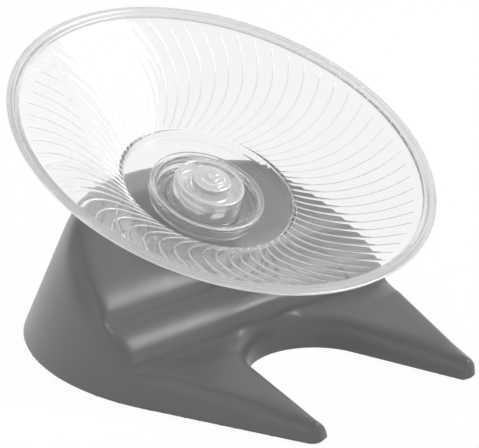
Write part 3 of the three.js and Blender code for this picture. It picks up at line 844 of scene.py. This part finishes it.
def dish_rows():
    """Radius, level and share of the rib's height for the rows round a slice of the dish."""
    slope = (wall_level(WALL_TOP) - wall_level(WALL_FOOT)) / (WALL_TOP - WALL_FOOT)
    under = DISH_WALL * math.hypot(1, slope)
    base = FLOOR - FLOOR_THICKNESS
    shelf = RIM + DISH_LIP_RISE - SHELF_DROP
    corners = [
        (dish_hole, base, 0.3),
        (FLOOR_RADIUS + DISH_WALL, base, 1.2),
        (WALL_FOOT + DISH_WALL, wall_level(WALL_FOOT + DISH_WALL) - under, 1.2),
        (WALL_TOP + DISH_WALL, wall_level(WALL_TOP) - under, 1.2),
        (DISH_RADIUS - LIP_EDGE, RIM - LIP_DROP, 1),
        (DISH_RADIUS, RIM - DISH_LIP_RISE, 0.8),
        (DISH_RADIUS, RIM + DISH_LIP_RISE, 0.7),
        (DISH_RADIUS - LIP_BEAD, RIM + DISH_LIP_RISE, 0.7),
        (DISH_RADIUS - LIP_BEAD - SHELF_DROP, shelf, 0.25),
        (WALL_TOP + LIP_STEP, shelf, 0.35),
        (WALL_TOP, wall_level(WALL_TOP), 0.6),
        (WALL_FOOT, wall_level(WALL_FOOT), 0.4),
        (FLOOR_RADIUS, FLOOR, 0.5),
        (dish_hole, FLOOR, 0.3),
    ]
    outline = rounded(corners, 4)
    rows = []
    for here, after in zip(outline, outline[1:] + outline[:1]):
        on_wall = min(here.x, after.x) > FLOOR_RADIUS and max(here.x, after.x) < WALL_TOP + LIP_STEP / 4
        on_top = on_wall and after.x < here.x - ROW
        parts = max(1, round((here - after).length / ROW)) if on_top else 1
        if not on_top and (here - after).length > 3 * ROW:
            parts = max(1, round((here - after).length / (4 * ROW)))
        for k in range(parts):
            place = here.lerp(after, k / parts)
            inner = (place.x - RIB_INNER) / RIB_END
            outer = (RIB_OUTER - place.x) / RIB_END
            share = max(0.0, min(1.0, inner, outer)) if on_top else 0
            rows.append((place.x, place.y, math.sin(share * math.pi / 2)))
    return rows


def dish_slice():
    """One slice of the dish with one rib down its middle, which its sides run alongside."""
    radii, angles = rib_centreline()
    half_slice = math.pi / RIB_COUNT
    points = []
    rows = dish_rows()
    for radius, height, share in rows:
        angle = np.interp(radius, radii, angles)
        slant = radius * np.interp(radius, radii, np.gradient(angles, radii))
        if not RIB_INNER < radius < RIB_OUTER:
            slant = 0
        half_rib = RIB_HALF * math.hypot(1, slant) / radius
        columns = [(-half_slice, 0), (-(half_slice + half_rib) / 2, 0)]
        columns += [(place * half_rib, lift) for place, lift in RIB_SHARES]
        columns += [((half_slice + half_rib) / 2, 0), (half_slice, 0)]
        for offset, lift in columns:
            around = angle + offset
            level = height + share * lift * RIB_HEIGHT
            points.append((radius * math.cos(around), radius * math.sin(around), level))
    width = len(RIB_SHARES) + 4
    faces = []
    for i in range(len(rows)):
        for j in range(width - 1):
            a, b = i * width + j, (i + 1) % len(rows) * width + j
            faces.append((a, a + 1, b + 1, b))
    return points, faces


# How far above the wall a face belongs to a rib
RIB_LIFT = 0.04


def on_ribs(radius, level):
    return RIB_INNER - RIB_END < radius < WALL_TOP and level > wall_level(radius) + RIB_LIFT


def on_dish_lip(radius, level):
    return radius > WALL_TOP + LIP_STEP / 2


dish = ring_of("clear_dish", *dish_slice(), RIB_COUNT, RIB_PHASE, clear)
dish.visible_shadow = False
# The ribs and the dish's lip take the painted highlight finish
refinish(dish, highlight_finish, on_ribs)
refinish(dish, lip_highlight_finish, on_dish_lip)
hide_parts("dish")
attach(dish, "saucer")


# Hub
FIT = 0.3
spindle_radius, bearing_radius = reach("bearing_inner_race")[0], reach("bearing_outer_race")[1]
BEARING_BASE, BEARING_TOP = reach("bearing_outer_race")[2:]
hub_hole, HUB_RADIUS, hub_low, hub_high = reach("hub_housing")
ANNULUS_THICKNESS = 1.8
ANNULUS_BASE = BEARING_TOP + FIT
ANNULUS_TOP = ANNULUS_BASE + ANNULUS_THICKNESS
SKIRT_WALL = 2.4
SOCKET_RADIUS = bearing_radius + FIT
SKIRT_RADIUS = SOCKET_RADIUS + SKIRT_WALL
TUBE_SPREAD = 1.8
TUBE_DRAFT = 0.9
TUBE_RADIUS = SKIRT_RADIUS + TUBE_SPREAD
TUBE_TOP_RADIUS = TUBE_RADIUS - TUBE_DRAFT
TUBE_TOP = hub_high
TUBE_WALL = 1.4
MOAT_DEPTH = 4.3
MOAT_WALL = 1.6
MOAT = FLOOR - MOAT_DEPTH
MOAT_BASE = MOAT - MOAT_WALL
HUB_LIP = 2.4
HUB_LIP_RISE = 1.1
HUB_FLANGE = FLOOR + FIT
HUB_LIP_TOP = HUB_FLANGE + HUB_LIP_RISE
# How far a face may lie from an edge or a wall and still take its finish
EDGE_BAND = 0.32
EDGE_DROP = 0.5
FACE_SPARE = 0.1

moat_outer = dish_hole - FIT
moat_middle = (TUBE_RADIUS + moat_outer) / 2
hub = turned("hub_moulding", [
    (hub_hole, ANNULUS_BASE, 0.2),
    (SOCKET_RADIUS, ANNULUS_BASE, 0.3),
    (SOCKET_RADIUS, hub_low, 0.2),
    (SKIRT_RADIUS, hub_low, 0.3),
    (SKIRT_RADIUS, MOAT_BASE, 0.3),
    (moat_middle, MOAT_BASE, 1.5),
    (moat_outer, FLOOR - FLOOR_THICKNESS, 1.2),
    (moat_outer, HUB_FLANGE, 0.2),
    (HUB_RADIUS, HUB_FLANGE, 0.3),
    (HUB_RADIUS, HUB_LIP_TOP, 0.3),
    (HUB_RADIUS - HUB_LIP, HUB_LIP_TOP, 0.25),
    (HUB_RADIUS - HUB_LIP - MOAT_WALL / 2, HUB_FLANGE, 1.0),
    (moat_middle + MOAT_WALL, MOAT + MOAT_WALL / 2, 1.5),
    (moat_middle - MOAT_WALL, MOAT, 1.2),
    (TUBE_RADIUS, MOAT + TUBE_WALL / 4, 0.7),
    (TUBE_TOP_RADIUS, TUBE_TOP, 0.35),
    (TUBE_TOP_RADIUS - TUBE_WALL, TUBE_TOP, 0.35),
    (TUBE_TOP_RADIUS - TUBE_WALL, ANNULUS_TOP, 0.5),
    (hub_hole, ANNULUS_TOP, 0.2),
], clear_hub, steps=6)
hub.visible_shadow = False


def on_tube(radius, level):
    return radius < TUBE_RADIUS + 3 * FACE_SPARE and level > ANNULUS_BASE + FACE_SPARE


def on_hub_lip(radius, level):
    """The outer face of the hub's raised lip, and the edge round its inner side."""
    if radius > HUB_RADIUS - EDGE_BAND:
        return level > HUB_FLANGE - FACE_SPARE
    return level > HUB_LIP_TOP - EDGE_DROP and abs(radius - HUB_RADIUS + HUB_LIP) < EDGE_BAND


refinish(hub, silvered, on_tube)
# The hub's lip and its inner edge take the painted highlight finish
refinish(hub, highlight_finish, on_hub_lip)
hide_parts("hub_housing")
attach(hub, "saucer")

cap_low, cap_high = reach("hub_cap")[2:]
CAP_RADIUS = 8.6
CAP_WALL = 1.2
CAP_DRAFT = 0.4
CAP_FLANGE = reach("hub_cap")[1]
CAP_FLANGE_THICKNESS = 0.8
CAP_BASE = ANNULUS_TOP + FIT
CAP_FLANGE_TOP = CAP_BASE + CAP_FLANGE_THICKNESS
BUTTON_RISE = 1.9
CAP_STEP_RISE = 1.1
CAP_STEP_TOP = cap_high - BUTTON_RISE
CAP_TOP = CAP_STEP_TOP - CAP_STEP_RISE
CAP_STEP_WIDTH = 3
BUTTON_STEP_WIDTH = 2.9
CAP_STEP_RADIUS = CAP_RADIUS - CAP_STEP_WIDTH
BUTTON_RADIUS = CAP_STEP_RADIUS - BUTTON_STEP_WIDTH
cap = turned("hub_cap_moulding", [
    (0, CAP_STEP_TOP - CAP_WALL, 0),
    (CAP_STEP_RADIUS - CAP_WALL, CAP_STEP_TOP - CAP_WALL, 0.4),
    (CAP_RADIUS - CAP_WALL, CAP_TOP - CAP_WALL, 0.4),
    (CAP_RADIUS - CAP_WALL, cap_low, 0.2),
    (CAP_RADIUS, cap_low, 0.2),
    (CAP_RADIUS, CAP_BASE, 0.1),
    (CAP_FLANGE, CAP_BASE, 0.2),
    (CAP_FLANGE, CAP_FLANGE_TOP, 0.3),
    (CAP_RADIUS, CAP_FLANGE_TOP, 0.4),
    (CAP_RADIUS - CAP_DRAFT, CAP_TOP, 0.7),
    (CAP_STEP_RADIUS, CAP_TOP, 0.3),
    (CAP_STEP_RADIUS - CAP_DRAFT, CAP_STEP_TOP, 0.5),
    (BUTTON_RADIUS, CAP_STEP_TOP, 0.3),
    (BUTTON_RADIUS - CAP_DRAFT, cap_high, 0.8),
    (0, cap_high, 0),
], silvered, steps=6)
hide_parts("hub_cap")
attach(cap, "saucer")

RING_THICKNESS = 2
ring_inner, ring_outer, ring_low, ring_high = reach("hub_retainer_ring")
ring_step = ring_low + RING_THICKNESS
ring = turned("hub_retainer_moulding", [
    (ring_inner, ring_low, 0.3),
    (dish_hole, ring_low, 0.8),
    (ring_outer, ring_high - RING_THICKNESS, 0.5),
    (ring_outer, ring_high, 0.3),
    (dish_hole + FIT, ring_high, 0.2),
    (dish_hole, ring_step, 0.5),
    (ring_inner, ring_step, 0.3),
], clear_hub)
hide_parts("hub_retainer_ring")
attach(ring, "saucer")


# Spindle, bearing and what holds them
BALL_COUNT = 7
RACE_WALL = 1.32
BALL_GAP = 0.2
INNER_LAND_RISE = 2.05
OUTER_LAND_RISE = 1.7
SHIELD_LIP = 0.5
SHIELD_DIP_SHARE = 0.4
CAGE_BAND = 0.4
# A cage prong ends this many pocket radii from its ball, and falls this fast past there
PRONG_REACH_SHARE = 1.25
PRONG_FALL = 0.9
FLANGE_THICKNESS = 1.0
FLANGE_TOP = FIT + FLANGE_THICKNESS
THREAD_RADIUS = 2.0
THREAD_DEPTH = 9.0
SCREW_CHAMFER = 0.4
SCREW_CROWN_SHARE = 0.7
SLOT_HALF_LENGTH = 1.98
SLOT_HALF_WIDTH = 0.45
SLOT_DEPTH = 1.2
SLOT_TAPER_SHARES = (0.8, 1.2)
PITCH_RADIUS = (spindle_radius + bearing_radius) / 2
BALL_RADIUS = (bearing_radius - spindle_radius) / 2 - RACE_WALL - BALL_GAP
BEARING_MIDDLE = (BEARING_BASE + BEARING_TOP) / 2


def inner_piece(made, body, slot, *stands_for):
    """Says what a piece replaces and which body it rides on. Its slot, what it is made of, is not used."""
    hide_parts(*stands_for)
    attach(made, body)


def washer(name, node, rounding, finish):
    """A flat ring with rounded edges in the place of a node."""
    inside, outside, low, high = reach(node)
    corners = [(inside, low), (outside, low), (outside, high), (inside, high)]
    return turned(name, [(radius, level, rounding) for radius, level in corners], finish, sides=96)


def race(name, land, side, steps=12):
    """A bearing ring: its round edge on one side, and the balls' groove in its land on the other."""
    plain = spindle_radius if side < 0 else bearing_radius
    groove = BALL_RADIUS + BALL_GAP
    reach_up = math.acos(abs(land - PITCH_RADIUS) / groove)
    arc = []
    for k in range(steps + 1):
        angle = reach_up * (2 * k / steps - 1)
        across, up = groove * math.cos(angle), groove * math.sin(angle)
        arc.append((PITCH_RADIUS + side * across, BEARING_MIDDLE + up, 0))
    corners = [(plain, BEARING_BASE, 0.4), (land, BEARING_BASE, 0.15), *arc]
    corners += [(land, BEARING_TOP, 0.15), (plain, BEARING_TOP, 0.4)]
    return turned(name, corners, steel, sides=96)


def ball_part(rings=12, sides=24):
    """A ball on the pitch circle."""
    points = [(PITCH_RADIUS, 0, BEARING_MIDDLE - BALL_RADIUS)]
    for i in range(1, rings):
        height = -math.cos(math.pi * i / rings) * BALL_RADIUS
        radius = math.sin(math.pi * i / rings) * BALL_RADIUS
        for k in range(sides):
            angle = 2 * math.pi * k / sides
            across = radius * math.cos(angle), radius * math.sin(angle)
            points.append((PITCH_RADIUS + across[0], across[1], BEARING_MIDDLE + height))
    points.append((PITCH_RADIUS, 0, BEARING_MIDDLE + BALL_RADIUS))
    last = len(points) - 1
    faces = []
    for k in range(sides):
        after = (k + 1) % sides
        faces.append((0, 1 + after, 1 + k))
        faces.append((last, last - sides + k, last - sides + after))
        for i in range(rings - 2):
            a, b = 1 + i * sides, 1 + (i + 1) * sides
            faces.append((a + k, a + after, b + after, b + k))
    return points, faces


def cage_part(steps=32):
    """A seventh of the crown cage: a band that dips round a ball and rises in two prongs beside it."""
    inside, outside, low, high = reach("bearing_cage")
    pocket = BALL_RADIUS + BALL_GAP
    points = []
    for k in range(steps + 1):
        angle = math.pi / BALL_COUNT * (2 * k / steps - 1)
        away = abs(PITCH_RADIUS * math.sin(angle))
        level = high if away >= pocket else high - math.sqrt(pocket ** 2 - away ** 2)
        fallen_by = PRONG_FALL * max(0, away / pocket - PRONG_REACH_SHARE)
        level = max(low + CAGE_BAND, min(level, high - fallen_by))
        for radius, height in ((inside, low), (outside, low), (outside, level), (inside, level)):
            points.append((radius * math.cos(angle), radius * math.sin(angle), height))
    faces = []
    for k in range(steps):
        for j in range(4):
            a, b = 4 * k + j, 4 * k + (j + 1) % 4
            faces.append((a, b, b + 4, a + 4))
    return points, faces


def shield(name, node, outward):
    """A pressed disc: flat, with a low step that stands out near its outer edge."""
    inside, outside, low, high = reach(node)
    face, back = (high, low) if outward > 0 else (low, high)
    dip = (back - face) * SHIELD_DIP_SHARE
    corners = [
        (inside, face + dip, 0.05),
        (outside - 2 * SHIELD_LIP, face + dip, 0.1),
        (outside - 1.5 * SHIELD_LIP, face, 0.1),
        (outside, face, 0.1),
        (outside, back, 0.05),
        (inside, back, 0.05),
    ]
    return turned(name, corners, steel, sides=96)


def screw():
    """A pan head screw with a cross recess, whose stem goes down into the spindle."""
    head_radius, low, high = reach("retaining_screw")[1:]
    head_base = reach("retaining_washer")[3] + FIT
    made = turned("retaining_screw_turned", [
        (0, low, 0),
        (THREAD_RADIUS - SCREW_CHAMFER, low, 0),
        (THREAD_RADIUS, low + SCREW_CHAMFER, 0),
        (THREAD_RADIUS, head_base, 0.1),
        (head_radius, head_base, 0.2),
        (head_radius, (head_base + high) / 2, 0.6),
        (head_radius * SCREW_CROWN_SHARE, high, 1.0),
        (0, high, 0),
    ], steel, sides=64)
    made.modifiers.clear()
    cross = []
    faces = []
    for long, wide in ((SLOT_HALF_LENGTH, SLOT_HALF_WIDTH), (SLOT_HALF_WIDTH, SLOT_HALF_LENGTH)):
        first = len(cross)
        for level, share in zip((high - SLOT_DEPTH, high + SLOT_DEPTH), SLOT_TAPER_SHARES):
            for x, y in ((-1, -1), (1, -1), (1, 1), (-1, 1)):
                cross.append(stood @ (Vector((x * long * share, y * wide * share, level)) * MM))
        sides = [(0, 1, 5, 4), (1, 2, 6, 5), (2, 3, 7, 6), (3, 0, 4, 7), (3, 2, 1, 0), (4, 5, 6, 7)]
        faces += [[first + corner for corner in side] for side in sides]
    recess = piece_from("cross_recess", cross, faces, steel)
    modifier = made.modifiers.new("recess", "BOOLEAN")
    modifier.object = recess
    modifier.solver = "EXACT"
    modifier.use_self = True
    applied(made, modifier)
    bpy.data.objects.remove(recess)
    return weighted(made)


flange_radius, spindle_foot, spindle_top = reach("spindle")[1:]
spindle = turned("spindle_turned", [
    (0, spindle_foot, 0),
    (spindle_radius, spindle_foot, 0.6),
    (spindle_radius, FIT, 0),
    (flange_radius, FIT, 0.2),
    (flange_radius, FLANGE_TOP, 0.2),
    (spindle_radius - FIT, FLANGE_TOP, 0.1),
    (spindle_radius - FIT, spindle_top, 0.4),
    (THREAD_RADIUS + FIT, spindle_top, 0.2),
    (THREAD_RADIUS + FIT, spindle_top - THREAD_DEPTH, 0),
    (0, spindle_top - THREAD_DEPTH, 0),
], steel, sides=96)
inner_piece(spindle, "stand", "steel", "spindle")
thrust = washer("thrust_washer_stamped", "thrust_washer", 0.15, brass)
inner_piece(thrust, "stand", "brass", "thrust_washer")
retaining = washer("retaining_washer_stamped", "retaining_washer", 0.25, steel)
inner_piece(retaining, "stand", "steel", "retaining_washer")
inner_piece(screw(), "stand", "steel", "retaining_screw")
inner_race = race("inner_race_ground", spindle_radius + INNER_LAND_RISE, -1)
outer_race = race("outer_race_ground", bearing_radius - OUTER_LAND_RISE, 1)
inner_piece(inner_race, "stand", "steel", "bearing_inner_race")
inner_piece(outer_race, "saucer", "steel", "bearing_outer_race")
for name, outward in (("bearing_shield_lower", -1), ("bearing_shield_upper", 1)):
    inner_piece(shield(name + "_pressed", name, outward), "saucer", "steel", name)
balls = ring_of("bearing_balls", *ball_part(), BALL_COUNT, 0, polished)
inner_piece(balls, "cage", "steel", *[f"bearing_ball_{k + 1}" for k in range(BALL_COUNT)])
inner_piece(ring_of("crown_cage", *cage_part(), BALL_COUNT, 0, brass), "cage", "brass", "bearing_cage")


# Stage
def seen_directly(studio):
    """1 for rays from the camera, off a gloss or through glass, which see the studio's white."""
    seen, gloss, glass = (
        studio.add("ShaderNodeLightPath", output=f"Is {kind} Ray")
        for kind in ("Camera", "Glossy", "Transmission"))
    seen = seen.math("MAXIMUM", seen, gloss)
    return seen.math("MAXIMUM", seen, glass)


# The world's strength for soft light, and for what is seen directly: white at the sides, less overhead.
# The change is given by how far upward a direction points, from 0 to 1.
WORLD_LIGHT = 0.55
WORLD_WHITE = 1.0
OVERHEAD_LIGHT = 0.62
OVERHEAD_CHANGE = (0.45, 0.85)
world = bpy.data.worlds.new("studio")
bpy.context.scene.world = world
world.use_nodes = True
sky = Nodes(world.node_tree)
direction = sky.add("ShaderNodeTexCoord", output="Generated")
upward = sky.add("ShaderNodeSeparateXYZ", inputs={0: direction}, output="Z")
white = sky.add("ShaderNodeMapRange", inputs={
    "Value": upward, "From Min": OVERHEAD_CHANGE[0], "From Max": OVERHEAD_CHANGE[1],
    "To Min": WORLD_WHITE, "To Max": OVERHEAD_LIGHT})
strength = sky.add("ShaderNodeMapRange", inputs={
    "Value": seen_directly(sky), "To Min": WORLD_LIGHT, "To Max": white})
background = sky.tree.nodes["Background"]
background.inputs["Color"].default_value = (1, 1, 1, 1)
sky.tree.links.new(strength.socket, background.inputs["Strength"])

FLOOR_HALF = 3000
FLOOR_DROP = 0.2
FLOOR_TONE = 0.82
FLOOR_GLOW = 1.05
# The share of the glow in the floor's look, whose rest shows the object's shadow
FLOOR_WHITE = 0.90
floor_finish = Finish("studio_floor", Base_Color=(FLOOR_TONE, FLOOR_TONE, FLOOR_TONE, 1), Roughness=0.9)
matte = Output(floor_finish, floor_finish.shader.outputs[0])
glow = floor_finish.add("ShaderNodeEmission", inputs={"Strength": FLOOR_GLOW})
share = FLOOR_WHITE * seen_directly(floor_finish)
mixed = floor_finish.add("ShaderNodeMixShader", inputs={0: share, 1: matte, 2: glow})
floor_finish.tree.links.new(mixed.socket, floor_finish.tree.nodes["Material Output"].inputs["Surface"])
floor_corners = [
    Vector((x * FLOOR_HALF, y * FLOOR_HALF, -FLOOR_DROP)) * MM
    for x, y in ((-1, -1), (1, -1), (1, 1), (-1, 1))
]
floor = piece_from("studio_floor", floor_corners, [(0, 1, 2, 3)], floor_finish.material)

LAMP_AIM = (0, 0, 60)


def softbox(name, place, size, power):
    """A square lamp that faces the middle of the object. Places and sizes are in millimetres."""
    lamp = bpy.data.lights.new(name, "AREA")
    lamp.shape = "SQUARE"
    lamp.size = size * MM
    lamp.energy = power
    held = in_scene(name, lamp)
    held.location = Vector(place) * MM
    aim = Vector(LAMP_AIM) * MM - held.location
    held.rotation_euler = aim.to_track_quat("-Z", "Y").to_euler()


softbox("key_softbox", place=(780, -340, 920), size=320, power=2.3)
softbox("side_softbox", place=(-900, 200, 700), size=700, power=0.8)

# Camera
CAMERA_PLACE = (-539.6, -580.4, 340.2)
CAMERA_AIM = (-0.35, -5.27, 52.47)
IMAGE_WIDTH = 479
FOCAL_PIXELS = 2072.4
camera = in_scene("camera", bpy.data.cameras.new("camera"))
camera.data.sensor_fit = "HORIZONTAL"
camera.data.sensor_width = 36
camera.data.lens = FOCAL_PIXELS * camera.data.sensor_width / IMAGE_WIDTH
camera.data.clip_start = 0.01
camera.data.clip_end = 20
camera.location = Vector(CAMERA_PLACE) * MM
aim = (Vector(CAMERA_AIM) - Vector(CAMERA_PLACE)) * MM
camera.rotation_euler = aim.to_track_quat("-Z", "Y").to_euler()
bpy.context.scene.camera = camera
bpy.context.scene.view_settings.view_transform = "Standard"

# Light that runs on inside clear walls needs many bounces before it gets out
CLEAR_BOUNCES = 32
cycles = bpy.context.scene.cycles
cycles.max_bounces = CLEAR_BOUNCES
cycles.glossy_bounces = CLEAR_BOUNCES
cycles.transmission_bounces = CLEAR_BOUNCES
